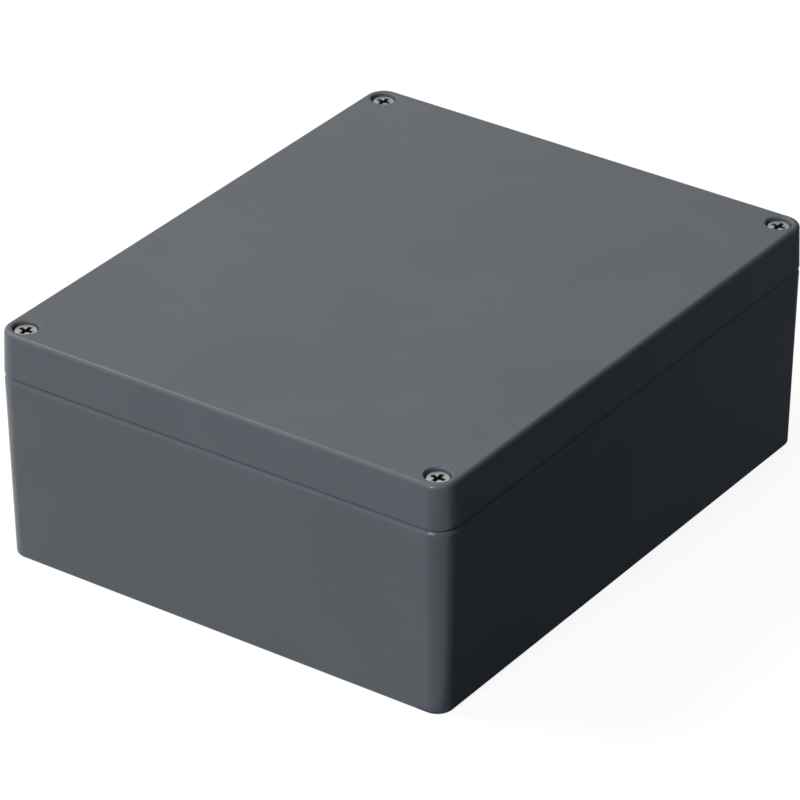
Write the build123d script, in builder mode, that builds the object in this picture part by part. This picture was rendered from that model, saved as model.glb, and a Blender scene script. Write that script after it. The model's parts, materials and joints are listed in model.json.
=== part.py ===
from build123d import *
from math import radians, tan
import os

# Die cast aluminium box with a lift-off lid on four captive screws, in millimetres.
# The origin is the middle of the underside. X runs along the short side, Y along the long side, Z up.

# Outer form, with both castings measured at the plane where they part
box_width = 230.0
box_length = 280.0
base_height = 89.0
lid_height = 21.0
corner_radius = 9.7
base_draft = 1.3
lid_draft = 1.8
foot_round = 1.2
rim_round = 2.0
lid_skirt_round = 0.7
lid_top_round = 2.0

# Inside of the castings
wall = 6.0
floor_thickness = 4.5
lid_plate = 4.5
inside_draft = 1.0
cavity_corner_radius = 6.0
block_corner_radius = 8.0
inside_round = 2.5

# Seal: a tongue on the base's rim presses a gasket in the lid's groove
tongue_setback = 0.4
tongue_width = 2.2
tongue_height = 2.8
tongue_chamfer = 0.4
groove_play = 0.8
gasket_thickness = 2.7
gasket_clearance = 0.1
rib_width = 2.2

# Wall fixing holes at the foot of wells that open under the lid
fixing_inset_x = 25.0
fixing_inset_y = 10.0
fixing_diameter = 6.5
fixing_floor = 6.0
well_diameter = 12.0
well_wall = 2.0
lid_pocket_depth = 12.0

# Captive lid screws
thread_diameter = 6.0
thread_clearance = 0.05
thread_tip_chamfer = 0.9
screw_inset = 9.8
screw_recess_diameter = 11.5
screw_recess_depth = 5.4
screw_recess_chamfer = 0.5
screw_hole_diameter = 6.6
seat_thickness = 4.0
shank_diameter = 4.9
head_diameter = 10.0
head_height = 3.9
head_chamfer = 0.4
mouth_chamfer = 0.6
mouth_angle = 90.0
bore_run_out = 4.0

# Rings that keep the screws in the lid
retainer_diameter = 10.0
retainer_thickness = 1.2
retainer_fit = 0.05
retainer_gap = 0.2
retainer_pocket_diameter = 11.0

# Cross recess of every screw
cross_span = 6.8
cross_wing = 2.2
cross_depth = 2.8
cross_taper = 12.0

# Tapped bosses on the floor for a mounting plate
boss_inset_x = 40.0
boss_inset_y = 40.0
boss_diameter = 13.0
boss_height = 8.0
boss_draft = 1.5
boss_foot_round = 1.5
boss_hole_depth = 10.0

# Earth terminals, one on the base's floor and one under the lid
earth_x = 40.0
base_earth_inset = 28.0
lid_earth_inset = 30.0
earth_boss_diameter = 14.0
earth_boss_height = 6.0
earth_hole_depth = 8.5
earth_thread_length = 7.0
earth_head_diameter = 12.0
earth_head_height = 4.4
earth_head_chamfer = 1.0
clamp_washer_diameter = 13.0
clamp_washer_thickness = 1.4
spring_washer_diameter = 11.8
spring_washer_thickness = 1.6
spring_washer_split = 1.2
washer_clearance = 0.2

# Worked out from the sizes above
box_height = base_height + lid_height
bore_diameter = thread_diameter + 2 * thread_clearance
tongue_outer = tongue_setback + tongue_width
groove_outer = tongue_outer + groove_play
groove_inner = tongue_setback - groove_play
groove_depth = tongue_height + gasket_thickness
block_width = fixing_inset_x + well_diameter / 2 + well_wall + groove_outer
block_length = fixing_inset_y + well_diameter / 2 + well_wall + groove_outer
fixing_spacing_x = box_width - 2 * fixing_inset_x
fixing_spacing_y = box_length - 2 * fixing_inset_y
boss_spacing_x = box_width - 2 * boss_inset_x
boss_spacing_y = box_length - 2 * boss_inset_y
screw_spacing_x = box_width - 2 * screw_inset
screw_spacing_y = box_length - 2 * screw_inset
screw_seat = box_height - screw_recess_depth
retainer_pocket_depth = lid_height - screw_recess_depth - seat_thickness
screw_travel = retainer_pocket_depth - retainer_thickness - 2 * retainer_gap
thread_top = base_height + retainer_gap
thread_tip = base_height - screw_travel
base_earth_y = base_earth_inset - box_length / 2
lid_earth_y = lid_earth_inset - box_length / 2
lid_ceiling = box_height - lid_plate
base_lean = base_height * tan(radians(base_draft))
lid_lean = lid_height * tan(radians(lid_draft))
cavity_lean = (base_height - floor_thickness) * tan(radians(inside_draft))
hollow_lean = (lid_height - lid_plate) * tan(radians(inside_draft))
hollow_inset = groove_inner - rib_width
cross_lean = cross_depth * tan(radians(cross_taper))

parting_plane = Plane.XY.offset(base_height)
floor_plane = Plane.XY.offset(floor_thickness)
ceiling_plane = Plane.XY.offset(lid_ceiling)
os.makedirs("parts", exist_ok=True)


def casting(shrink=0):
    """The outside of the castings at the parting plane, shrunk by a distance."""
    with BuildSketch() as outline:
        RectangleRounded(box_width - 2 * shrink, box_length - 2 * shrink, corner_radius - shrink)
    return outline.sketch


def cavity(grow=0):
    """The cavity at the parting plane, a cross between the four corner blocks, grown by a distance."""
    with BuildSketch() as outline:
        RectangleRounded(
            box_width - 2 * wall + 2 * grow,
            box_length - 2 * block_length + 2 * grow,
            cavity_corner_radius + grow,
        )
        RectangleRounded(
            box_width - 2 * block_width + 2 * grow,
            box_length - 2 * wall + 2 * grow,
            cavity_corner_radius + grow,
        )
        fillet(outline.vertices().sort_by_distance((0, 0, 0))[:4], block_corner_radius - grow)
    return outline.sketch


def band(inner, outer):
    """A band that follows the cavity's edge, between two distances outside it."""
    with BuildSketch() as outline:
        add(cavity(outer))
        add(cavity(inner), mode=Mode.SUBTRACT)
    return outline.sketch


# Base casting
with BuildPart() as enclosure_base:
    with BuildSketch(parting_plane):
        add(casting())
    with BuildSketch(Plane.XY):
        add(casting(base_lean))
    loft(ruled=True)
    fillet(enclosure_base.faces().sort_by(Axis.Z)[0].edges(), foot_round)
    fillet(enclosure_base.faces().sort_by(Axis.Z)[-1].edges(), rim_round)

    with BuildSketch(parting_plane):
        add(cavity())
    with BuildSketch(floor_plane):
        add(cavity(-cavity_lean))
    loft(ruled=True, mode=Mode.SUBTRACT)
    floor_face = enclosure_base.faces(Select.LAST).filter_by(Plane.XY).sort_by(Axis.Z)[0]
    fillet(floor_face.edges(), inside_round)

    with BuildSketch(parting_plane):
        add(band(tongue_setback, tongue_outer))
    extrude(amount=tongue_height)
    chamfer(enclosure_base.faces().sort_by(Axis.Z)[-1].edges(), tongue_chamfer)

    with Locations(parting_plane):
        with GridLocations(screw_spacing_x, screw_spacing_y, 2, 2):
            CounterSinkHole(
                radius=bore_diameter / 2,
                counter_sink_radius=bore_diameter / 2 + mouth_chamfer,
                depth=screw_travel + bore_run_out,
                counter_sink_angle=mouth_angle,
            )
        with GridLocations(fixing_spacing_x, fixing_spacing_y, 2, 2):
            CounterBoreHole(
                radius=fixing_diameter / 2,
                counter_bore_radius=well_diameter / 2,
                counter_bore_depth=base_height - fixing_floor,
            )

    with BuildSketch(floor_plane):
        with GridLocations(boss_spacing_x, boss_spacing_y, 2, 2):
            Circle(boss_diameter / 2)
    extrude(amount=boss_height, taper=boss_draft)
    fillet(enclosure_base.edges(Select.LAST).group_by(Axis.Z)[0], boss_foot_round)
    with Locations(floor_plane.offset(boss_height)):
        with GridLocations(boss_spacing_x, boss_spacing_y, 2, 2):
            Hole(radius=bore_diameter / 2, depth=boss_hole_depth)

    with BuildSketch(floor_plane):
        with Locations((earth_x, base_earth_y)):
            Circle(earth_boss_diameter / 2)
    extrude(amount=earth_boss_height, taper=boss_draft)
    fillet(enclosure_base.edges(Select.LAST).group_by(Axis.Z)[0], boss_foot_round)
    with Locations(floor_plane.offset(earth_boss_height)):
        with Locations((earth_x, base_earth_y)):
            Hole(radius=bore_diameter / 2, depth=earth_hole_depth)
enclosure_base.part.label = "enclosure_base"
export_step(enclosure_base.part, "parts/enclosure_base.step")

# Lid casting
with BuildPart() as enclosure_lid:
    with BuildSketch(parting_plane):
        add(casting())
    with BuildSketch(parting_plane.offset(lid_height)):
        add(casting(lid_lean))
    loft(ruled=True)
    fillet(enclosure_lid.faces().sort_by(Axis.Z)[-1].edges(), lid_top_round)
    fillet(enclosure_lid.faces().sort_by(Axis.Z)[0].edges(), lid_skirt_round)

    with BuildSketch(parting_plane):
        add(cavity(hollow_inset))
    with BuildSketch(ceiling_plane):
        add(cavity(hollow_inset - hollow_lean))
    loft(ruled=True, mode=Mode.SUBTRACT)
    ceiling_face = enclosure_lid.faces(Select.LAST).filter_by(Plane.XY).sort_by(Axis.Z)[-1]
    fillet(ceiling_face.edges(), inside_round)

    with BuildSketch(parting_plane):
        add(band(groove_inner, groove_outer))
    extrude(amount=groove_depth, mode=Mode.SUBTRACT)

    with BuildSketch(parting_plane):
        with GridLocations(fixing_spacing_x, fixing_spacing_y, 2, 2):
            Circle(well_diameter / 2)
    extrude(amount=lid_pocket_depth, mode=Mode.SUBTRACT)
    with BuildSketch(parting_plane):
        with GridLocations(screw_spacing_x, screw_spacing_y, 2, 2):
            Circle(retainer_pocket_diameter / 2)
    extrude(amount=retainer_pocket_depth, mode=Mode.SUBTRACT)

    with Locations(Plane.XY.offset(box_height)):
        with GridLocations(screw_spacing_x, screw_spacing_y, 2, 2):
            CounterBoreHole(
                radius=screw_hole_diameter / 2,
                counter_bore_radius=screw_recess_diameter / 2,
                counter_bore_depth=screw_recess_depth,
            )
    mouths = enclosure_lid.edges().group_by(Axis.Z)[-1].filter_by(lambda edge: edge.is_closed)
    chamfer(mouths, screw_recess_chamfer)

    with BuildSketch(ceiling_plane):
        with Locations((earth_x, lid_earth_y)):
            Circle(earth_boss_diameter / 2)
    extrude(amount=-earth_boss_height, taper=boss_draft)
    fillet(enclosure_lid.edges(Select.LAST).group_by(Axis.Z)[-1], boss_foot_round)
    with BuildSketch(ceiling_plane.offset(-earth_boss_height)):
        with Locations((earth_x, lid_earth_y)):
            Circle(bore_diameter / 2)
    extrude(amount=earth_hole_depth, mode=Mode.SUBTRACT)
enclosure_lid.part.label = "enclosure_lid"
export_step(enclosure_lid.part, "parts/enclosure_lid.step")

# Gasket, flat on the tongue and on the bottom of the groove
with BuildPart() as lid_gasket:
    with BuildSketch(parting_plane.offset(tongue_height)):
        add(band(groove_inner + gasket_clearance, groove_outer - gasket_clearance))
    extrude(amount=gasket_thickness)
lid_gasket.part.label = "lid_gasket"
export_step(lid_gasket.part, "parts/lid_gasket.step")


def cross(shrink=0):
    """The cross recess as it opens in a screw head, shrunk by a distance."""
    with BuildSketch() as outline:
        Rectangle(cross_span - 2 * shrink, cross_wing - 2 * shrink)
        Rectangle(cross_wing - 2 * shrink, cross_span - 2 * shrink)
    return outline.sketch


# Lid screw on the Z axis, with a shank thinner than its thread so that the ring can hold it
with BuildPart() as lid_screw:
    with BuildSketch(Plane.XZ):
        with BuildLine():
            Polyline(
                (0, thread_tip),
                (thread_diameter / 2 - thread_tip_chamfer, thread_tip),
                (thread_diameter / 2, thread_tip + thread_tip_chamfer),
                (thread_diameter / 2, thread_top),
                (shank_diameter / 2, thread_top),
                (shank_diameter / 2, screw_seat),
                (head_diameter / 2, screw_seat),
                (head_diameter / 2, screw_seat + head_height),
                (0, screw_seat + head_height),
                close=True,
            )
        make_face()
    revolve(axis=Axis.Z)
    chamfer(lid_screw.faces().sort_by(Axis.Z)[-1].edges(), head_chamfer)
    with BuildSketch(Plane.XY.offset(screw_seat + head_height)):
        add(cross())
    with BuildSketch(Plane.XY.offset(screw_seat + head_height - cross_depth)):
        add(cross(cross_lean))
    loft(ruled=True, mode=Mode.SUBTRACT)

# Retainer ring on the Z axis, resting on the top of the thread
with BuildPart() as screw_retainer:
    with BuildSketch(Plane.XY.offset(thread_top)):
        Circle(retainer_diameter / 2)
        Circle(shank_diameter / 2 + retainer_fit, mode=Mode.SUBTRACT)
    extrude(amount=retainer_thickness)

for side, x in (("left", -screw_spacing_x / 2), ("right", screw_spacing_x / 2)):
    for end, y in (("front", -screw_spacing_y / 2), ("back", screw_spacing_y / 2)):
        for piece, name in ((lid_screw, "lid_screw"), (screw_retainer, "screw_retainer")):
            with BuildPart() as placed:
                with Locations((x, y, 0)):
                    add(piece.part)
            placed.part.label = f"{name}_{end}_{side}"
            export_step(placed.part, f"parts/{name}_{end}_{side}.step")


def earth_terminal(name, seat_plane):
    """Write the clamp washer, spring washer and screw that stack up on an earth boss."""
    spring_seat = clamp_washer_thickness
    head_seat = spring_seat + spring_washer_thickness
    head_top = head_seat + earth_head_height
    washer_hole = thread_diameter / 2 + washer_clearance

    with BuildPart() as clamp_washer:
        with BuildSketch():
            Circle(clamp_washer_diameter / 2)
            Circle(washer_hole, mode=Mode.SUBTRACT)
        extrude(amount=clamp_washer_thickness)

    with BuildPart() as spring_washer:
        with BuildSketch(Plane.XY.offset(spring_seat)):
            Circle(spring_washer_diameter / 2)
            Circle(washer_hole, mode=Mode.SUBTRACT)
            with Locations((spring_washer_diameter / 2, 0)):
                Rectangle(spring_washer_diameter, spring_washer_split, mode=Mode.SUBTRACT)
        extrude(amount=spring_washer_thickness)

    with BuildPart() as earth_screw:
        with BuildSketch(Plane.XY.offset(-earth_thread_length)):
            Circle(thread_diameter / 2)
        extrude(amount=earth_thread_length + head_seat)
        chamfer(earth_screw.edges().group_by(Axis.Z)[0], thread_tip_chamfer)
        with BuildSketch(Plane.XY.offset(head_seat)):
            Circle(earth_head_diameter / 2)
        extrude(amount=earth_head_height)
        chamfer(earth_screw.edges().group_by(Axis.Z)[-1], earth_head_chamfer)
        with BuildSketch(Plane.XY.offset(head_top)):
            add(cross())
        with BuildSketch(Plane.XY.offset(head_top - cross_depth)):
            add(cross(cross_lean))
        loft(ruled=True, mode=Mode.SUBTRACT)

    pieces = (("clamp_washer", clamp_washer), ("spring_washer", spring_washer), ("screw", earth_screw))
    for suffix, piece in pieces:
        with BuildPart() as placed:
            with Locations(seat_plane.location):
                add(piece.part)
        placed.part.label = f"{name}_{suffix}"
        export_step(placed.part, f"parts/{name}_{suffix}.step")


base_earth_seat = Plane((earth_x, base_earth_y, floor_thickness + earth_boss_height))
lid_earth_seat = Plane((earth_x, lid_earth_y, lid_ceiling - earth_boss_height), z_dir=(0, 0, -1))
earth_terminal("base_earth", base_earth_seat)
earth_terminal("lid_earth", lid_earth_seat)
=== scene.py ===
import json
import math

import bpy
from mathutils import Matrix, Vector


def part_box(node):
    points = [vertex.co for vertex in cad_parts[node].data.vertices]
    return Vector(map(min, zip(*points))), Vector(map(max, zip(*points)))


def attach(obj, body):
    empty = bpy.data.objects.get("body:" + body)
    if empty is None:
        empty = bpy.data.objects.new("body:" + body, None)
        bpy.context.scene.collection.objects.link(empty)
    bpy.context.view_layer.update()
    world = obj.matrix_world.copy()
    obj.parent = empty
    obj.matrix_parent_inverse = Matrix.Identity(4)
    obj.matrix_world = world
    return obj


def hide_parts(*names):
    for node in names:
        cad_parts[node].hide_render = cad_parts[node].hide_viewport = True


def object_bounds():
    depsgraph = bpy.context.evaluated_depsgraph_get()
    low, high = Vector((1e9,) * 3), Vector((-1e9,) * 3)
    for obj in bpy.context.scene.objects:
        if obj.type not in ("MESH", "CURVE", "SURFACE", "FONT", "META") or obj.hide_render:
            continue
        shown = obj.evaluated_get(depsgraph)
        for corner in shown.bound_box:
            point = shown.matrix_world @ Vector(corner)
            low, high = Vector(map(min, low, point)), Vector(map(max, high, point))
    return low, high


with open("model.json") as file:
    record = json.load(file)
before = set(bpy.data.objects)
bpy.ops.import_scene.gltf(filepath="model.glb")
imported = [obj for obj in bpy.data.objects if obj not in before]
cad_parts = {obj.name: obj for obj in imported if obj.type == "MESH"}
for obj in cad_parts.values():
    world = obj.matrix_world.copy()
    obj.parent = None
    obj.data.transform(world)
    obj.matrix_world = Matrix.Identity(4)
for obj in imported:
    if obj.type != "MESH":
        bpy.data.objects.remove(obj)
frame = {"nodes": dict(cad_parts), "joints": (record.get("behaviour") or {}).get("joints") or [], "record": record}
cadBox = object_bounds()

nodes = frame["nodes"]
corners = ("front_left", "front_right", "back_left", "back_right")
jointPlace = {joint["name"]: Vector(joint.get("pos_m") or (0, 0, 0)) for joint in frame["joints"]}


# ways of working

making = {
    "seed": 0.001,  # the small plane that is merged to an outline's first point
    "merge": 0.000001,
    "cut": 0.0000001,  # a wider reach would take in points beside the cut
    "smooth": 32.0,
    "around": 64,
    "softSteps": 3,
    "roundSteps": 6,
}


def startClean():
    if bpy.context.mode != "OBJECT":
        bpy.ops.object.mode_set(mode="OBJECT")
    bpy.ops.object.select_all(action="DESELECT")


def takeUp(piece):
    startClean()
    bpy.context.view_layer.objects.active = piece
    piece.select_set(True)


def editAll(piece):  # ends in edit mode with everything selected
    takeUp(piece)
    bpy.ops.object.mode_set(mode="EDIT")
    bpy.ops.mesh.select_mode(type="VERT")
    bpy.ops.mesh.select_all(action="SELECT")


def pick(piece, wanted):  # ends in edit mode with just the wanted vertices selected
    editAll(piece)
    bpy.ops.mesh.select_all(action="DESELECT")
    bpy.ops.object.mode_set(mode="OBJECT")
    for vertex in piece.data.vertices:
        vertex.select = wanted(vertex)
    bpy.ops.object.mode_set(mode="EDIT")


def drawOutline(name, points, closed=False):  # points are (radius, height), drawn one step at a time
    startClean()
    bpy.ops.mesh.primitive_plane_add(size=making["seed"])
    piece = bpy.context.object
    piece.name = piece.data.name = name
    editAll(piece)
    bpy.ops.mesh.merge(type="CENTER")
    bpy.ops.transform.translate(value=(points[0][0], 0, points[0][1]))
    for here, there in zip(points, points[1:]):
        step = (there[0] - here[0], 0, there[1] - here[1])
        bpy.ops.mesh.extrude_vertices_move(TRANSFORM_OT_translate={"value": step})
    if closed:
        pick(piece, lambda vertex: vertex.index in (0, len(points) - 1))
        bpy.ops.mesh.edge_face_add()
    startClean()
    return piece


def closeUp(piece):  # seams and poles merged, faces outwards
    editAll(piece)
    bpy.ops.mesh.remove_doubles(threshold=making["merge"])
    bpy.ops.mesh.normals_make_consistent(inside=False)
    startClean()


def turnOutline(piece, steps=making["around"]):
    editAll(piece)
    bpy.ops.mesh.spin(steps=steps, angle=2 * math.pi, center=(0, 0, 0), axis=(0, 0, 1))
    closeUp(piece)
    return piece


def windOutline(piece, angle, rise, turns, steps):
    takeUp(piece)
    bpy.ops.object.modifier_add(type="SCREW")
    wind = piece.modifiers[-1]
    wind.axis = "Z"
    wind.angle = angle
    wind.screw_offset = rise
    wind.iterations = turns
    wind.steps = wind.render_steps = steps
    bpy.ops.object.modifier_apply(modifier=wind.name)
    closeUp(piece)
    return piece


def trimFlat(piece, height, keepAbove):
    editAll(piece)
    bpy.ops.mesh.bisect(
        plane_co=(0, 0, height),
        plane_no=(0, 0, 1),
        clear_inner=keepAbove,
        clear_outer=not keepAbove,
        threshold=making["cut"],
    )
    bpy.ops.mesh.edge_face_add()  # the cut edge is still selected
    closeUp(piece)


def carve(piece, tool, operation):  # boolean with a tool that is then thrown away
    takeUp(piece)
    bpy.ops.object.modifier_add(type="BOOLEAN")
    cut = piece.modifiers[-1]
    cut.operation = operation
    cut.solver = "EXACT"
    cut.object = tool
    bpy.ops.object.modifier_apply(modifier=cut.name)
    bpy.data.objects.remove(tool)


def polish(piece, degrees=making["smooth"]):
    takeUp(piece)
    bpy.ops.object.shade_smooth_by_angle(angle=math.radians(degrees))


def copyTo(piece, name, place):
    copy = bpy.data.objects.new(name, piece.data.copy())
    copy.data.name = name
    bpy.context.scene.collection.objects.link(copy)
    copy.data.transform(place)
    return copy


def copyNode(node, name):  # its own normals go, because they would spoil the later smoothing
    copy = copyTo(nodes[node], name, Matrix.Identity(4))
    takeUp(copy)
    bpy.ops.mesh.customdata_custom_splitnormals_clear()
    return copy


def fitPiece(piece, material, body, slot, *replaced):
    wear(piece, material)
    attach(piece, body)
    if replaced:
        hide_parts(*replaced)


def putAway(*patterns):  # what the copies were taken from
    for pattern in patterns:
        bpy.data.objects.remove(pattern)


def roundedCorner(centre, radius, fromDegrees, toDegrees, steps):
    turn = (toDegrees - fromDegrees) / steps
    angles = [math.radians(fromDegrees + turn * number) for number in range(steps + 1)]
    return [(centre[0] + radius * math.cos(a), centre[1] + radius * math.sin(a)) for a in angles]


def ringOutline(inner, outer, low, high, soft):  # a washer's section with rounded edges
    steps = making["softSteps"]
    outline = roundedCorner((outer - soft, low + soft), soft, -90, 0, steps)
    outline += roundedCorner((outer - soft, high - soft), soft, 0, 90, steps)
    outline += roundedCorner((inner + soft, high - soft), soft, 90, 180, steps)
    outline += roundedCorner((inner + soft, low + soft), soft, 180, 270, steps)
    return outline


# node work

def addNode(tree, kind, **settings):
    node = tree.nodes.new(kind)
    for key, value in settings.items():
        setattr(node, key, value)
    return node


def feed(tree, value, socket):  # a number or colour is set, an output is linked
    if isinstance(value, bpy.types.NodeSocket):
        tree.links.new(value, socket)
    elif isinstance(value, tuple):
        socket.default_value = (*value, 1)
    else:
        socket.default_value = value


def calc(tree, operation, *values):
    node = addNode(tree, "ShaderNodeMath", operation=operation)
    for socket, value in zip(node.inputs, values):
        feed(tree, value, socket)
    return node.outputs[0]


def reach(tree, along, across):  # distance from the axis
    squares = calc(tree, "ADD", calc(tree, "POWER", along, 2.0), calc(tree, "POWER", across, 2.0))
    return calc(tree, "SQRT", squares)


def average(tree, first, second, share):
    firstPart = calc(tree, "MULTIPLY", first, share)
    secondPart = calc(tree, "MULTIPLY", second, 1 - share)
    return calc(tree, "ADD", firstPart, secondPart)


def spread(tree, value, low, high, toLow, toHigh):
    node = addNode(tree, "ShaderNodeMapRange")
    labels = ("Value", "From Min", "From Max", "To Min", "To Max")
    for label, setting in zip(labels, (value, low, high, toLow, toHigh)):
        feed(tree, setting, node.inputs[label])
    return node.outputs["Result"]


def blend(tree, share, first, second, kind):  # kind is RGBA or FLOAT
    node = addNode(tree, "ShaderNodeMix", data_type=kind)
    wanted = "RGBA" if kind == "RGBA" else "VALUE"
    sockets = {socket.name: socket for socket in node.inputs if socket.type == wanted and socket.enabled}
    feed(tree, share, node.inputs["Factor"])
    feed(tree, first, sockets["A"])
    feed(tree, second, sockets["B"])
    return [socket for socket in node.outputs if socket.type == wanted][0]


def noise(tree, vector, scale, detail):
    node = addNode(tree, "ShaderNodeTexNoise")
    feed(tree, vector, node.inputs["Vector"])
    feed(tree, scale, node.inputs["Scale"])
    feed(tree, detail, node.inputs["Detail"])
    return node.outputs["Fac"]


def startGroup(name, inputs, outputs):
    group = bpy.data.node_groups.new(name, "ShaderNodeTree")
    group.interface.new_socket(name="Vector", in_out="INPUT", socket_type="NodeSocketVector")
    for label, value in inputs.items():
        socket = group.interface.new_socket(name=label, in_out="INPUT", socket_type="NodeSocketFloat")
        socket.default_value = value
    for label in outputs:
        group.interface.new_socket(name=label, in_out="OUTPUT", socket_type="NodeSocketFloat")
    return group, group.nodes.new("NodeGroupInput").outputs, group.nodes.new("NodeGroupOutput").inputs


def placeGroup(tree, group, vector, values=None):
    node = addNode(tree, "ShaderNodeGroup", node_tree=group)
    tree.links.new(vector, node.inputs["Vector"])
    for label, value in (values or {}).items():
        node.inputs[label].default_value = value
    return node.outputs


def newMaterial(name, **fixed):
    material = bpy.data.materials.new(name)
    material.use_nodes = True
    tree = material.node_tree
    shader = tree.nodes["Principled BSDF"]
    for label, value in fixed.items():
        feed(tree, value, shader.inputs[label.replace("_", " ")])
    place = addNode(tree, "ShaderNodeTexCoord").outputs["Object"]
    return material, tree, shader.inputs, place


def mirrorPlace(tree, place):  # the four corners share one pattern
    fold = addNode(tree, "ShaderNodeVectorMath", operation="ABSOLUTE")
    tree.links.new(place, fold.inputs[0])
    return fold.outputs[0]


def addRelief(tree, shader, height, distance):
    bump = addNode(tree, "ShaderNodeBump")
    bump.inputs["Distance"].default_value = distance
    tree.links.new(height, bump.inputs["Height"])
    tree.links.new(bump.outputs["Normal"], shader["Normal"])


def wear(piece, material):
    for slot in piece.material_slots:
        slot.material = material
    if not piece.material_slots:
        piece.data.materials.append(material)


# powder grain: orange peel, fine dust and slow clouds

powder = {
    "sizes": {"Peel": 650.0, "Dust": 2600.0, "Clouds": 22.0},
    "peelDetail": 1.0,
    "dustDetail": 2.0,
    "cloudDetail": 3.0,
    "peelShare": 0.75,
    "toneRange": (0.3, 0.7),
    "speckRange": (0.35, 0.65),
}


def makePowderGrain():
    group, enter, leave = startGroup("powderGrain", powder["sizes"], ("Height", "Tone", "Speck"))
    peel = noise(group, enter["Vector"], enter["Peel"], powder["peelDetail"])
    dust = noise(group, enter["Vector"], enter["Dust"], powder["dustDetail"])
    clouds = noise(group, enter["Vector"], enter["Clouds"], powder["cloudDetail"])
    group.links.new(average(group, peel, dust, powder["peelShare"]), leave["Height"])
    group.links.new(spread(group, clouds, *powder["toneRange"], 0.0, 1.0), leave["Tone"])
    group.links.new(spread(group, dust, *powder["speckRange"], 0.0, 1.0), leave["Speck"])
    return group


# turned rings: fine tool marks about an axis that runs along Z through the vector's origin

turning = {
    "sizes": {"Rings": 9000.0, "Smear": 700.0},
    "ringDetail": 2.0,
    "smearDetail": 3.0,
    "ringShare": 0.5,
    "toneRange": (0.35, 0.65),
}


def makeTurnedRings():
    group, enter, leave = startGroup("turnedRings", turning["sizes"], ("Height", "Tone"))
    split = addNode(group, "ShaderNodeSeparateXYZ")
    group.links.new(enter["Vector"], split.inputs[0])
    radius = reach(group, split.outputs["X"], split.outputs["Y"])
    line = addNode(group, "ShaderNodeCombineXYZ")
    feed(group, calc(group, "MULTIPLY", radius, enter["Rings"]), line.inputs["X"])
    feed(group, calc(group, "MULTIPLY", split.outputs["Z"], enter["Rings"]), line.inputs["Y"])
    rings = noise(group, line.outputs[0], 1.0, turning["ringDetail"])
    smear = noise(group, enter["Vector"], enter["Smear"], turning["smearDetail"])
    marks = average(group, rings, smear, turning["ringShare"])
    group.links.new(rings, leave["Height"])
    group.links.new(spread(group, marks, *turning["toneRange"], 0.0, 1.0), leave["Tone"])
    return group


# bare disc: a round patch that a cutter left without coat

disc = {
    "place": {"Centre X": 0.0, "Centre Y": 0.0, "Radius": 0.005, "Low": 0.0, "High": 0.001},
    "edge": {"Chips": 900.0, "Ragged": 0.00015},
    "chipDetail": 2.0,
    "chipMiddle": 0.5,
}


def makeBareDisc():
    group, enter, leave = startGroup("bareDisc", {**disc["place"], **disc["edge"]}, ("Mask",))
    split = addNode(group, "ShaderNodeSeparateXYZ")
    group.links.new(enter["Vector"], split.inputs[0])
    alongX = calc(group, "SUBTRACT", split.outputs["X"], enter["Centre X"])
    alongY = calc(group, "SUBTRACT", split.outputs["Y"], enter["Centre Y"])
    grit = noise(group, enter["Vector"], enter["Chips"], disc["chipDetail"])
    chips = calc(group, "SUBTRACT", grit, disc["chipMiddle"])
    radius = reach(group, alongX, alongY)
    edge = calc(group, "ADD", radius, calc(group, "MULTIPLY", chips, enter["Ragged"]))
    inside = calc(group, "LESS_THAN", edge, enter["Radius"])
    above = calc(group, "GREATER_THAN", split.outputs["Z"], enter["Low"])
    below = calc(group, "LESS_THAN", split.outputs["Z"], enter["High"])
    mask = calc(group, "MULTIPLY", inside, calc(group, "MULTIPLY", above, below))
    group.links.new(mask, leave["Mask"])
    return group


# painted shade in the cross recess: darkened from just under a head's top down to the bottom of its cross

recessShadeSpan = {"Top": 0.1, "Rim": 0.0001, "Fade": 0.0006, "Bottom": 0.0032, "Radius": 0.0042}


def makePaintedRecessShade():
    group, enter, leave = startGroup("paintedRecessShade", recessShadeSpan, ("Mask",))
    split = addNode(group, "ShaderNodeSeparateXYZ")
    group.links.new(enter["Vector"], split.inputs[0])
    depth = calc(group, "SUBTRACT", enter["Top"], split.outputs["Z"])
    radius = reach(group, split.outputs["X"], split.outputs["Y"])
    narrow = calc(group, "LESS_THAN", radius, enter["Radius"])
    shallow = calc(group, "LESS_THAN", depth, enter["Bottom"])
    inside = calc(group, "MULTIPLY", narrow, shallow)
    shade = spread(group, depth, enter["Rim"], enter["Fade"], 0.0, 1.0)
    group.links.new(calc(group, "MULTIPLY", inside, shade), leave["Mask"])
    return group


powderGrain = makePowderGrain()
turnedRings = makeTurnedRings()
bareDisc = makeBareDisc()
paintedRecessShade = makePaintedRecessShade()

# places that the frame gives

millimetre = 0.001


def seatOf(node, end):  # the middle of a node's lowest (0) or highest (1) end
    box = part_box(node)
    return Vector(((box[0].x + box[1].x) / 2, (box[0].y + box[1].y) / 2, box[end].z))


mounts = {mount["name"]: mount for mount in frame["record"]["mounts"]}
plateSize = mounts["plate_bosses"]["dims"]
plateHeight = mounts["plate_bosses"]["pos_m"][2]
bossX = plateSize["spacing_x_mm"] / 2 * millimetre
bossY = plateSize["spacing_y_mm"] / 2 * millimetre
bossPlace = Vector((bossX, bossY, plateHeight))
screwPlace = jointPlace["screw_back_right_turn"]
earthSeat = {"base": seatOf("base_earth_clamp_washer", 0), "lid": seatOf("lid_earth_clamp_washer", 1)}
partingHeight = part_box("enclosure_lid")[0].z

# the castings' coat, with bare metal where the cutters went

coat = {
    "dark": (0.077, 0.092, 0.108),
    "light": (0.085, 0.1005, 0.1175),
    "rough": (0.31, 0.36),
    "shine": 0.29,
    "relief": 0.000010,
    "bare": (0.70, 0.70, 0.69),
    "bareRough": 0.36,
}
bareSpots = {"boss": 0.0061, "earth": 0.0069, "bore": 0.0038, "skin": 0.0001, "mouth": 0.0008}


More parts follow.
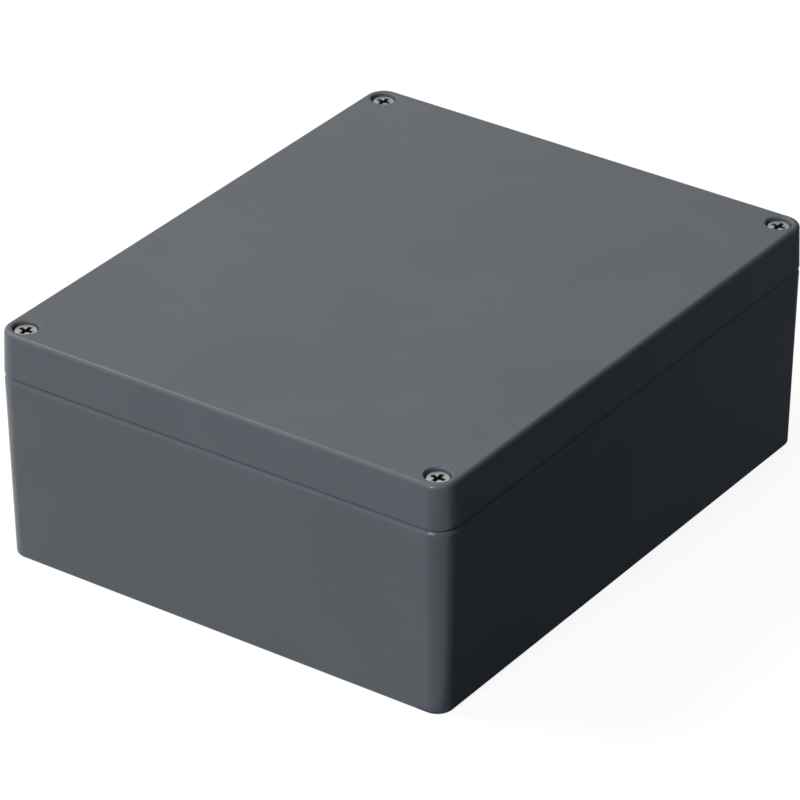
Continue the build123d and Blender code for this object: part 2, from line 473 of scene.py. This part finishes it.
def bareSpot(middle, radius, below, above):
    return {
        "Centre X": middle.x,
        "Centre Y": middle.y,
        "Radius": radius,
        "Low": middle.z - below,
        "High": middle.z + above,
    }


def makeCoat(name, cornerSpots, singleSpots):
    material, tree, shader, place = newMaterial(name, Specular_IOR_Level=coat["shine"])
    grain = placeGroup(tree, powderGrain, place)
    masks = [placeGroup(tree, bareDisc, mirrorPlace(tree, place), spot)["Mask"] for spot in cornerSpots]
    masks += [placeGroup(tree, bareDisc, place, spot)["Mask"] for spot in singleSpots]
    bare = masks[0]
    for mask in masks[1:]:
        bare = calc(tree, "MAXIMUM", bare, mask)
    paint = blend(tree, grain["Tone"], coat["dark"], coat["light"], "RGBA")
    satin = spread(tree, grain["Speck"], 0.0, 1.0, *coat["rough"])
    tree.links.new(blend(tree, bare, paint, coat["bare"], "RGBA"), shader["Base Color"])
    tree.links.new(blend(tree, bare, satin, coat["bareRough"], "FLOAT"), shader["Roughness"])
    tree.links.new(bare, shader["Metallic"])
    addRelief(tree, shader, grain["Height"], coat["relief"])
    return material


skin = bareSpots["skin"]
boreMouth = Vector((screwPlace.x, screwPlace.y, partingHeight))
baseCorners = [
    bareSpot(bossPlace, bareSpots["boss"], skin, skin),
    bareSpot(boreMouth, bareSpots["bore"], bareSpots["mouth"], -skin / 2),
]
earthSpots = {body: bareSpot(seat, bareSpots["earth"], skin, skin) for body, seat in earthSeat.items()}
wear(nodes["enclosure_lid"], makeCoat("powderCoatLid", [], [earthSpots["lid"]]))
print("lid casting coated")

# base casting: a copy whose rim is rounded wider than the solid's, so that it catches the light

rim = {"depth": 0.0021, "widen": 1.55, "corner": 0.0097, "slack": 0.000001, "smooth": 25.0}


def widenRim(piece):  # only what lies on the solid's own rounding moves, in and down alike
    reachX = cadBox[1].x - rim["corner"]
    reachY = cadBox[1].y - rim["corner"]
    for vertex in piece.data.vertices:
        drop = partingHeight - vertex.co.z
        beyond = Vector((max(abs(vertex.co.x) - reachX, 0), max(abs(vertex.co.y) - reachY, 0)))
        inset = rim["corner"] - beyond.length
        if -rim["slack"] < drop < rim["depth"] and inset < rim["depth"]:
            inwards = beyond.normalized() * inset * (rim["widen"] - 1)
            vertex.co.x -= math.copysign(inwards.x, vertex.co.x)
            vertex.co.y -= math.copysign(inwards.y, vertex.co.y)
            vertex.co.z = partingHeight - drop * rim["widen"]


def weighNormals(piece):  # keeps the large flat sides flat beside their roundings
    takeUp(piece)
    bpy.ops.object.modifier_add(type="WEIGHTED_NORMAL")
    weigh = piece.modifiers[-1]
    weigh.keep_sharp = True
    bpy.ops.object.modifier_apply(modifier=weigh.name)


baseCoat = makeCoat("powderCoatBase", baseCorners, [earthSpots["base"]])
wear(nodes["enclosure_base"], baseCoat)
casting = copyNode("enclosure_base", "base_casting")
closeUp(casting)
widenRim(casting)
polish(casting, rim["smooth"])
weighNormals(casting)
fitPiece(casting, baseCoat, "base", "powder_coat", "enclosure_base")
print("base casting rounded:", len(casting.data.polygons), "faces")

# bright metals, nylon and rubber

steel = {
    "dark": (0.70, 0.70, 0.68),
    "light": (0.86, 0.86, 0.84),
    # painted shade for the screws' cross recess
    "recess": (0.07, 0.071, 0.067),
    "rough": (0.26, 0.40),
    "relief": 0.000004,
}
brass = {
    "dark": (0.60, 0.43, 0.18),
    "light": (0.75, 0.57, 0.28),
    "rough": (0.26, 0.44),
    "relief": 0.000004,
}
tapped = {
    "dark": (0.58, 0.58, 0.57),
    "light": (0.72, 0.72, 0.71),
    "rough": (0.28, 0.42),
    "relief": 0.000004,
}
nylon = {
    "dark": (0.66, 0.65, 0.60),
    "light": (0.76, 0.75, 0.71),
    "rough": (0.42, 0.55),
    "shine": 0.4,
    "relief": 0.000006,
    "grain": {"Peel": 900.0, "Dust": 3000.0, "Clouds": 120.0},
}
rubber = {
    "dark": (0.014, 0.014, 0.015),
    "light": (0.03, 0.03, 0.031),
    "rough": (0.62, 0.8),
    "shine": 0.4,
    "relief": 0.00002,
    "grain": {"Peel": 800.0, "Dust": 3500.0, "Clouds": 120.0},
}


def makeTurnedMetal(name, metal, centre, atCorners=False, headTop=None):
    material, tree, shader, place = newMaterial(name, Metallic=1.0)
    if atCorners:
        place = mirrorPlace(tree, place)
    centred = addNode(tree, "ShaderNodeMapping")
    centred.inputs["Location"].default_value = (-centre.x, -centre.y, 0)
    tree.links.new(place, centred.inputs["Vector"])
    rings = placeGroup(tree, turnedRings, centred.outputs[0])
    colour = blend(tree, rings["Tone"], metal["dark"], metal["light"], "RGBA")
    # painted shade darkens the cross recess
    if headTop:
        shade = placeGroup(tree, paintedRecessShade, centred.outputs[0], {"Top": headTop})["Mask"]
        colour = blend(tree, shade, colour, metal["recess"], "RGBA")
    tree.links.new(colour, shader["Base Color"])
    tree.links.new(spread(tree, rings["Tone"], 1.0, 0.0, *metal["rough"]), shader["Roughness"])
    addRelief(tree, shader, rings["Height"], metal["relief"])
    return material


def makeMoulded(name, stuff):
    material, tree, shader, place = newMaterial(name, Specular_IOR_Level=stuff["shine"])
    grain = placeGroup(tree, powderGrain, place, stuff["grain"])
    colour = blend(tree, grain["Tone"], stuff["dark"], stuff["light"], "RGBA")
    tree.links.new(colour, shader["Base Color"])
    tree.links.new(spread(tree, grain["Speck"], 0.0, 1.0, *stuff["rough"]), shader["Roughness"])
    addRelief(tree, shader, grain["Height"], stuff["relief"])
    return material


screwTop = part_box("lid_screw_back_right")[1].z
screwSteel = makeTurnedMetal("stainlessScrew", steel, screwPlace, atCorners=True, headTop=screwTop)
boreMetal = makeTurnedMetal("tappedBore", tapped, screwPlace, atCorners=True)
bossMetal = makeTurnedMetal("tappedBoss", tapped, bossPlace, atCorners=True)
washerSteel = {
    body: makeTurnedMetal("stainlessWasher_" + body, steel, seat) for body, seat in earthSeat.items()
}
earthBrass = {body: makeTurnedMetal("brass_" + body, brass, seat) for body, seat in earthSeat.items()}
ringNylon = makeMoulded("ringNylon", nylon)
sealRubber = makeMoulded("sealRubber", rubber)
print("small materials made")

# threads and cross recesses

thread = {
    "pitch": 0.001,
    "crest": 0.003,
    "depth": 0.000613,
    "flat": 1 / 8,  # flat and flank are shares of the pitch
    "flank": 5 / 16,
    "steps": 48,
    "play": 0.00002,
    "spare": 0.0001,
}
cross = {
    "wings": 4,
    "span": 0.0068,
    "wing": 0.0022,
    "depth": 0.0028,
    "lean": 12.0,
    "past": 0.0004,
    "flare": 0.0028,  # the cone that opens the middle
    "flareTip": 0.0004,
    "flareDepth": 0.0021,
}


def windThread(name, low, high, grow=0.0):
    pitch = thread["pitch"]
    crest = thread["crest"] + grow
    root = crest - thread["depth"]
    start = (math.floor(low / pitch) - 1) * pitch  # whole pitches, so that screw and bore stay in step
    flat = pitch * thread["flat"]
    flank = pitch * thread["flank"]
    outline = [
        (root, start),
        (root, start + flat),
        (crest, start + flat + flank),
        (crest, start + 2 * flat + flank),
        (root, start + 2 * flat + 2 * flank),
        (root, start + pitch),
    ]
    turns = math.ceil((high - start) / pitch) + 1
    piece = windOutline(drawOutline(name, outline), 2 * math.pi, pitch, turns, thread["steps"])
    trimFlat(piece, low, keepAbove=True)
    trimFlat(piece, high, keepAbove=False)
    return piece


def pointedRod(name, low, high, tipCut, topCut):  # both ends cut to 45 degrees, as a lathe leaves them
    crest = thread["crest"]
    spare = thread["spare"]
    outline = [
        (0, low),
        (crest - tipCut, low),
        (crest + spare, low + tipCut + spare),
        (crest + spare, high - topCut - spare),
        (crest - topCut, high),
        (0, high),
    ]
    rod = windThread(name, low - spare, high + spare)
    carve(rod, turnOutline(drawOutline(name + "Limit", outline)), "INTERSECT")
    return rod


def taperBlock(across, along, top):  # one bar of the cross, narrower below
    low = top - cross["depth"]
    high = top + cross["past"]
    lean = 2 * math.tan(math.radians(cross["lean"]))
    foot = (across - lean * cross["depth"], along - lean * cross["depth"])
    mouth = (across + lean * cross["past"], along + lean * cross["past"])
    startClean()
    bpy.ops.mesh.primitive_cube_add(size=1)
    block = bpy.context.object
    editAll(block)
    bpy.ops.transform.resize(value=(*foot, high - low), center_override=(0, 0, 0))
    bpy.ops.transform.translate(value=(0, 0, (low + high) / 2))
    pick(block, lambda vertex: vertex.co.z > (low + high) / 2)
    opening = (mouth[0] / foot[0], mouth[1] / foot[1], 1)
    bpy.ops.transform.resize(value=opening, center_override=(0, 0, high))
    startClean()
    return block


def crossTools(top):
    startClean()
    bpy.ops.mesh.primitive_cone_add(
        vertices=cross["wings"],
        radius1=cross["flareTip"],
        radius2=cross["flare"],
        depth=cross["flareDepth"],
    )
    flare = bpy.context.object
    editAll(flare)
    bpy.ops.transform.translate(value=(0, 0, top + thread["spare"] - cross["flareDepth"] / 2))
    startClean()
    barX = taperBlock(cross["span"], cross["wing"], top)
    barY = taperBlock(cross["wing"], cross["span"], top)
    return barX, barY, flare


def turnHead(name, sizes):
    foot = sizes["threadTop"] - sizes["overlap"]
    shank = sizes["shank"]
    head = sizes["head"]
    seat = sizes["seat"]
    under = sizes["under"]
    edge = sizes["edge"]
    outline = [(0, foot), (shank, foot), (shank, seat - under)]
    outline += roundedCorner((shank + under, seat - under), under, 180, 90, making["softSteps"])[1:]
    outline += roundedCorner((head - under, seat + under), under, -90, 0, making["softSteps"])
    outline += roundedCorner((head - edge, sizes["top"] - edge), edge, 0, 90, making["roundSteps"])
    outline += [(0, sizes["top"])]
    return turnOutline(drawOutline(name, outline))


def makeScrew(name, sizes):
    screw = pointedRod(name, sizes["tip"], sizes["threadTop"], sizes["tipCut"], sizes["topCut"])
    carve(screw, turnHead(name + "Head", sizes), "UNION")
    for tool in crossTools(sizes["top"]):
        carve(screw, tool, "DIFFERENCE")
    closeUp(screw)
    polish(screw)
    return screw


# lid screws, captive: thread below, thin shank above

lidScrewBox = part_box("lid_screw_back_right")
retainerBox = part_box("screw_retainer_back_right")
lidScrew = {
    "tip": lidScrewBox[0].z,
    "threadTop": retainerBox[0].z,
    "seat": screwPlace.z,
    "top": lidScrewBox[1].z,
    "shank": 0.00246,
    "head": (lidScrewBox[1].x - lidScrewBox[0].x) / 2,
    "edge": 0.00045,
    "under": 0.0002,
    "tipCut": 0.0009,
    "topCut": 0.0005,
    "overlap": 0.00043,
}


def atScrew(corner):
    axis = jointPlace["screw_" + corner + "_turn"]
    return Matrix.Translation((axis.x, axis.y, 0))


pattern = makeScrew("lidScrewPattern", lidScrew)
for corner in corners:
    screw = copyTo(pattern, "captive_screw_" + corner, atScrew(corner))
    fitPiece(screw, screwSteel, "screw_" + corner, "stainless_steel", "lid_screw_" + corner)
print("lid screws cut:", len(pattern.data.polygons), "faces each")
putAway(pattern)

# nylon rings that keep the lid screws in the lid

retainer = {
    "inner": 0.0025,
    "outer": (retainerBox[1].x - retainerBox[0].x) / 2,
    "low": retainerBox[0].z,
    "high": retainerBox[1].z,
    "soft": 0.0002,
}
pattern = turnOutline(drawOutline("retainerPattern", ringOutline(**retainer), closed=True))
polish(pattern)
for corner in corners:
    ring = copyTo(pattern, "retaining_ring_" + corner, atScrew(corner))
    fitPiece(ring, ringNylon, "retainer_" + corner, "retainer_nylon", "screw_retainer_" + corner)
putAway(pattern)
print("retaining rings turned")

# earth terminals: clamp washer, spring washer and brass screw, seat at height 0

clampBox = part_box("base_earth_clamp_washer")
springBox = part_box("base_earth_spring_washer")
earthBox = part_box("base_earth_screw")
clampThick = clampBox[1].z - clampBox[0].z
springTop = springBox[1].z - clampBox[0].z
threadStop = 0.0006  # how far below the head the thread ends
earthScrew = {
    "tip": earthBox[0].z - clampBox[0].z,
    "threadTop": springTop - threadStop,
    "seat": springTop,
    "top": earthBox[1].z - clampBox[0].z,
    "shank": 0.0027,
    "head": (earthBox[1].x - earthBox[0].x) / 2,
    "edge": 0.0013,
    "under": 0.0002,
    "tipCut": 0.0009,
    "topCut": 0.0004,
    "overlap": 0.00043,
}
clampWasher = {
    "inner": 0.0032,
    "outer": (clampBox[1].x - clampBox[0].x) / 2,
    "low": 0.0,
    "high": clampThick,
    "soft": 0.0003,
}
springWasher = {
    "inner": 0.0032,
    "outer": (springBox[1].y - springBox[0].y) / 2,
    "lift": 0.00018,  # how far one end of the split stands above the other
    "split": 0.0012,
    "soft": 0.0002,
    "steps": 60,
}


def makeSpringWasher(name):
    inner = springWasher["inner"]
    outer = springWasher["outer"]
    high = springTop - springWasher["lift"]
    outline = ringOutline(inner, outer, clampThick, high, springWasher["soft"])
    gap = 2 * springWasher["split"] / (inner + outer)
    piece = drawOutline(name, outline, closed=True)
    piece.data.transform(Matrix.Rotation(gap / 2, 4, "Z"))
    windOutline(piece, 2 * math.pi - gap, springWasher["lift"], 1, springWasher["steps"])
    editAll(piece)
    bpy.ops.mesh.fill_holes(sides=0)
    closeUp(piece)
    polish(piece)
    return piece


screwPattern = makeScrew("earthScrewPattern", earthScrew)
springPattern = makeSpringWasher("springPattern")
clampPattern = turnOutline(drawOutline("clampPattern", ringOutline(**clampWasher), closed=True))
polish(clampPattern)
upright = {"base": Matrix.Identity(4), "lid": Matrix.Rotation(math.pi, 4, "X")}
for body, seat in earthSeat.items():
    for source, name, node, material, slot in (
        (screwPattern, "earthing_screw_", "_earth_screw", earthBrass[body], "earth_brass"),
        (clampPattern, "earthing_clamp_", "_earth_clamp_washer", earthBrass[body], "earth_brass"),
        (springPattern, "earthing_spring_", "_earth_spring_washer", washerSteel[body], "stainless_steel"),
    ):
        piece = copyTo(source, name + body, Matrix.Translation(seat) @ upright[body])
        fitPiece(piece, material, body, slot, body + node)
putAway(screwPattern, springPattern, clampPattern)
print("earth terminals built")

# gasket: the band with its edges rounded as a moulded seal's are

gasket = {"soft": 0.0005, "segments": 3, "flat": 1.0, "sharp": 60.0}
seal = copyNode("lid_gasket", "moulded_seal")
closeUp(seal)
editAll(seal)
bpy.ops.mesh.dissolve_limited(angle_limit=math.radians(gasket["flat"]))
bpy.ops.mesh.select_all(action="DESELECT")
bpy.ops.mesh.edges_select_sharp(sharpness=math.radians(gasket["sharp"]))
bpy.ops.mesh.bevel(offset=gasket["soft"], segments=gasket["segments"], affect="EDGES")
closeUp(seal)
polish(seal)
fitPiece(seal, sealRubber, "lid", "seal_rubber", "lid_gasket")
print("seal moulded:", len(seal.data.polygons), "faces")

# tapped threads in the lid screw bores and the plate bosses

tapping = {
    "wall": 0.00306,
    "boreDepth": 0.0128,
    "boreMouth": 0.0006,
    "bossDepth": 0.0092,
    "bossMouth": 0.0002,
    "past": 0.0013,  # how far the tap runs out at each end
    "around": 96,
}


def tapBore(name, low, high):
    sleeve = [(0, low), (tapping["wall"], low), (tapping["wall"], high), (0, high)]
    piece = turnOutline(drawOutline(name, sleeve), tapping["around"])
    tap = windThread(name + "Tap", low - tapping["past"], high + tapping["past"], grow=thread["play"])
    carve(piece, tap, "DIFFERENCE")
    closeUp(piece)
    polish(piece)
    return piece


boreTop = partingHeight - tapping["boreMouth"]
bossTop = bossPlace.z - tapping["bossMouth"]
borePattern = tapBore("borePattern", boreTop - tapping["boreDepth"], boreTop)
bossPattern = tapBore("bossPattern", bossTop - tapping["bossDepth"], bossTop)
for corner in corners:
    alongX = 1 if "right" in corner else -1
    alongY = 1 if "back" in corner else -1
    for source, name, middle, metal in (
        (borePattern, "tapped_bore_", screwPlace, boreMetal),
        (bossPattern, "tapped_boss_", bossPlace, bossMetal),
    ):
        place = Matrix.Translation((middle.x * alongX, middle.y * alongY, 0))
        sleeve = copyTo(source, name + corner, place)
        fitPiece(sleeve, metal, "base", "powder_coat")
putAway(borePattern, bossPattern)
print("bores tapped")

# pale floor, white surround, a dark card and soft lamps

studio = {
    "floorSize": 14.0,
    "floorDrop": 0.0002,
    "floorGlow": 0.9,
    "floorTint": (0.14, 0.14, 0.14),
    "floorBounce": (0.10, 0.10, 0.105),
    "surround": (1.0, 1.0, 1.0),
    "ambient": (0.028, 0.030, 0.034),
}
card = {
    "inner": 0.1,
    "reach": 0.55,
    "length": 2.0,
    "middle": 0.86,
    "height": 1.1,
    "rough": 0.9,
    "colour": (0.01, 0.01, 0.012),
}
sheets = {  # cards behind the box, which only its sheen and its screws show
    "greyCard": {"left": -2.4, "right": -0.35, "behind": 1.2, "high": 2.0, "level": 0.42},
    "blackCard": {"left": -0.35, "right": 0.65, "behind": 1.2, "high": 1.9, "level": 0.06},
}
lamps = {
    "leftLamp": {
        "towards": (-0.62, -0.29, 0.74),
        "distance": 4.0,
        "size": 1.6,
        "power": 122.0,
        "colour": (1.0, 0.86, 0.76),
        "glare": False,
    },
    "glintLamp": {
        "towards": (-0.66, 0.0, 0.74),
        "distance": 4.0,
        "size": 1.6,
        "power": 56.0,
        "colour": (1.0, 0.88, 0.80),
        "glare": True,
    },
    "frontLamp": {
        "towards": (0.0, -0.83, 0.55),
        "distance": 5.0,
        "size": 0.75,
        "power": 162.0,
        "colour": (0.96, 1.0, 1.03),
        "glare": True,
    },
    "backFill": {
        "towards": (-0.60, 0.78, 0.16),
        "distance": 4.0,
        "size": 1.5,
        "power": 110.0,
        "colour": (1.0, 0.93, 0.86),
        "glare": False,
    },
    "sideFill": {
        "towards": (0.64, 0.42, 0.06),
        "distance": 0.85,
        "size": 0.3,
        "power": 1.05,
        "colour": (0.96, 0.97, 1.0),
        "glare": False,
    },
}


def seenDirectly(tree):  # 1 for camera, mirror and glass rays, 0 for the light that falls on the object
    path = addNode(tree, "ShaderNodeLightPath").outputs
    shiny = calc(tree, "MAXIMUM", path["Is Glossy Ray"], path["Is Transmission Ray"])
    return calc(tree, "MAXIMUM", path["Is Camera Ray"], shiny)


def chooseShader(tree, share, first, second, output):
    choose = addNode(tree, "ShaderNodeMixShader")
    for shader, socket in zip((share, first.outputs[0], second.outputs[0]), choose.inputs):
        tree.links.new(shader, socket)
    tree.links.new(choose.outputs[0], tree.nodes[output].inputs["Surface"])


def plainMaterial(name):  # with nothing in it but its output
    material = bpy.data.materials.new(name)
    material.use_nodes = True
    tree = material.node_tree
    tree.nodes.remove(tree.nodes["Principled BSDF"])
    return material, tree


def addGlow(tree, strength):
    glow = addNode(tree, "ShaderNodeEmission")
    glow.inputs["Strength"].default_value = strength
    return glow


def startSheet(name):  # ends in edit mode with everything selected
    startClean()
    bpy.ops.mesh.primitive_plane_add(size=1)
    sheet = bpy.context.object
    sheet.name = name
    editAll(sheet)
    return sheet


def layFloor():
    startClean()
    bpy.ops.mesh.primitive_plane_add(size=studio["floorSize"], location=(0, 0, -studio["floorDrop"]))
    floor = bpy.context.object
    floor.name = "floor"
    material, tree = plainMaterial("paleFloor")
    glow = addGlow(tree, studio["floorGlow"])
    tint = addNode(tree, "ShaderNodeBsdfDiffuse")
    feed(tree, studio["floorTint"], tint.inputs["Color"])
    pale = addNode(tree, "ShaderNodeAddShader")
    tree.links.new(glow.outputs[0], pale.inputs[0])
    tree.links.new(tint.outputs[0], pale.inputs[1])
    bounce = addNode(tree, "ShaderNodeBsdfDiffuse")
    feed(tree, studio["floorBounce"], bounce.inputs["Color"])
    chooseShader(tree, seenDirectly(tree), bounce, pale, "Material Output")
    wear(floor, material)


def standCard():  # folded card beside the box, so that its right side stays dark
    fold = card["inner"] + card["reach"]
    sheet = startSheet("darkCard")
    bpy.ops.transform.resize(value=(card["reach"], card["length"], 1), center_override=(0, 0, 0))
    middle = (card["inner"] + card["reach"] / 2, card["middle"], -studio["floorDrop"] / 2)
    bpy.ops.transform.translate(value=middle)
    pick(sheet, lambda vertex: vertex.co.x > fold - card["reach"] / 2)
    bpy.ops.mesh.extrude_region_move(TRANSFORM_OT_translate={"value": (0, 0, card["height"])})
    startClean()
    wear(sheet, newMaterial("darkCard", Roughness=card["rough"], Base_Color=card["colour"])[0])
    sheet.visible_camera = False
    sheet.visible_shadow = False


def hangSheet(name, left, right, behind, high, level):
    sheet = startSheet(name)
    bpy.ops.transform.resize(value=(right - left, high, 1), center_override=(0, 0, 0))
    bpy.ops.transform.rotate(value=math.pi / 2, orient_axis="X", center_override=(0, 0, 0))
    bpy.ops.transform.translate(value=((left + right) / 2, behind, high / 2))
    startClean()
    material, tree = plainMaterial(name)
    glow = addGlow(tree, level)
    tree.links.new(glow.outputs[0], tree.nodes["Material Output"].inputs["Surface"])
    wear(sheet, material)
    sheet.visible_camera = False
    sheet.visible_diffuse = False
    sheet.visible_shadow = False


def surroundWhite():
    world = bpy.data.worlds.new("studioSurround")
    bpy.context.scene.world = world
    world.use_nodes = True
    tree = world.node_tree
    dim = tree.nodes["Background"]
    feed(tree, studio["ambient"], dim.inputs["Color"])
    white = addNode(tree, "ShaderNodeBackground")
    feed(tree, studio["surround"], white.inputs["Color"])
    chooseShader(tree, seenDirectly(tree), dim, white, "World Output")


def hangLamp(name, towards, distance, size, power, colour, glare):
    startClean()
    middle = (cadBox[0] + cadBox[1]) / 2
    place = middle + Vector(towards).normalized() * distance
    bpy.ops.object.light_add(type="AREA", location=place)
    lamp = bpy.context.object
    lamp.name = name
    lamp.data.shape = "DISK"
    lamp.data.size = size
    lamp.data.energy = power
    lamp.data.color = colour
    lamp.rotation_mode = "QUATERNION"
    lamp.rotation_quaternion = (middle - place).to_track_quat("-Z", "Y")
    lamp.visible_glossy = glare


layFloor()
standCard()
for name, sheet in sheets.items():
    hangSheet(name, **sheet)
surroundWhite()
for name, lamp in lamps.items():
    hangLamp(name, **lamp)
print("studio set")

# camera at the photo's place

view = {
    "azimuth": 35.084,
    "elevation": 30.02,
    "roll": -0.05,
    "distance": 2.25184,
    "target": (-0.00206, -0.00391, 0.04899),
    "lens": 234.08,
    "sensor": 36.0,
    "nearest": 0.05,
    "farthest": 60.0,
}
startClean()
bpy.ops.object.camera_add()
camera = bpy.context.object
turn = math.radians(view["azimuth"])
lift = math.radians(view["elevation"])
back = Vector((math.sin(turn) * math.cos(lift), -math.cos(turn) * math.cos(lift), math.sin(lift)))
roll = Matrix.Rotation(math.radians(view["roll"]), 3, "Z").to_quaternion()
camera.location = Vector(view["target"]) + back * view["distance"]
camera.rotation_mode = "QUATERNION"
camera.rotation_quaternion = (-back).to_track_quat("-Z", "Y") @ roll
camera.data.sensor_width = view["sensor"]
camera.data.lens = view["lens"]
camera.data.clip_start = view["nearest"]
camera.data.clip_end = view["farthest"]
bpy.context.scene.camera = camera
bpy.context.scene.view_settings.view_transform = "Standard"
startClean()
